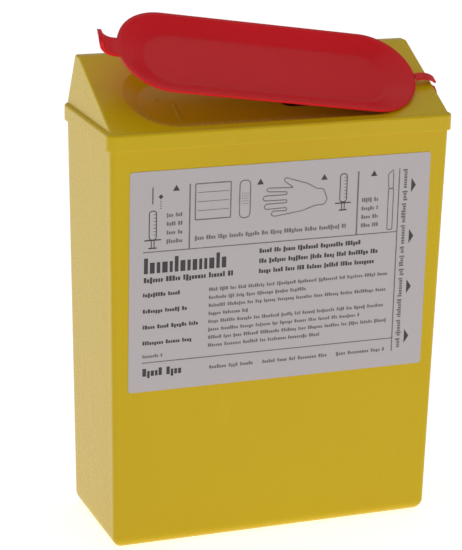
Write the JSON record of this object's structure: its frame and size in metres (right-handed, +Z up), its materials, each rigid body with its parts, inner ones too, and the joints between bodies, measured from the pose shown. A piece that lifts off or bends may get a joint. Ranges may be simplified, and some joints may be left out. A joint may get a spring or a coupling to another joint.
{
  "type": "sharps container",
  "caption": "Tall drafted plastic tub with a gabled lid and a tethered dish-shaped closure over a sloping seat with waste, needle and blade openings.",
  "frame": {"origin": "centre of the tub's resting face", "axes": "+Z up, +X along the lid's ridge towards the strap, -Y towards the labelled front"},
  "size_m": [0.1692, 0.0738, 0.2476],
  "materials": {
    "yellow_plastic": "semi-gloss polypropylene",
    "red_plastic": "semi-gloss polypropylene",
    "label": "satin printed film"
  },
  "bodies": {
    "container": {"tub": "yellow_plastic", "lid": "yellow_plastic", "front_label": "label", "strap_tail": "red_plastic"},
    "strap_link": {"strap": "red_plastic"},
    "closure_dish": {"closure": "red_plastic"}
  },
  "joints": [
    {"name": "strap_swing", "type": "hinge", "parent": "container", "child": "strap_link", "pos_m": [0.0848, -0.0134, 0.21104], "axis": [0, 0.8916, 0.4529], "range_deg": [0, 180]},
    {"name": "closure_roll", "type": "hinge", "parent": "strap_link", "child": "closure_dish", "pos_m": [0.0729, -0.01535, 0.21487], "axis": [0.7604, 0.6339, -0.1415], "range_deg": [-12.77, 0]}
  ]
}
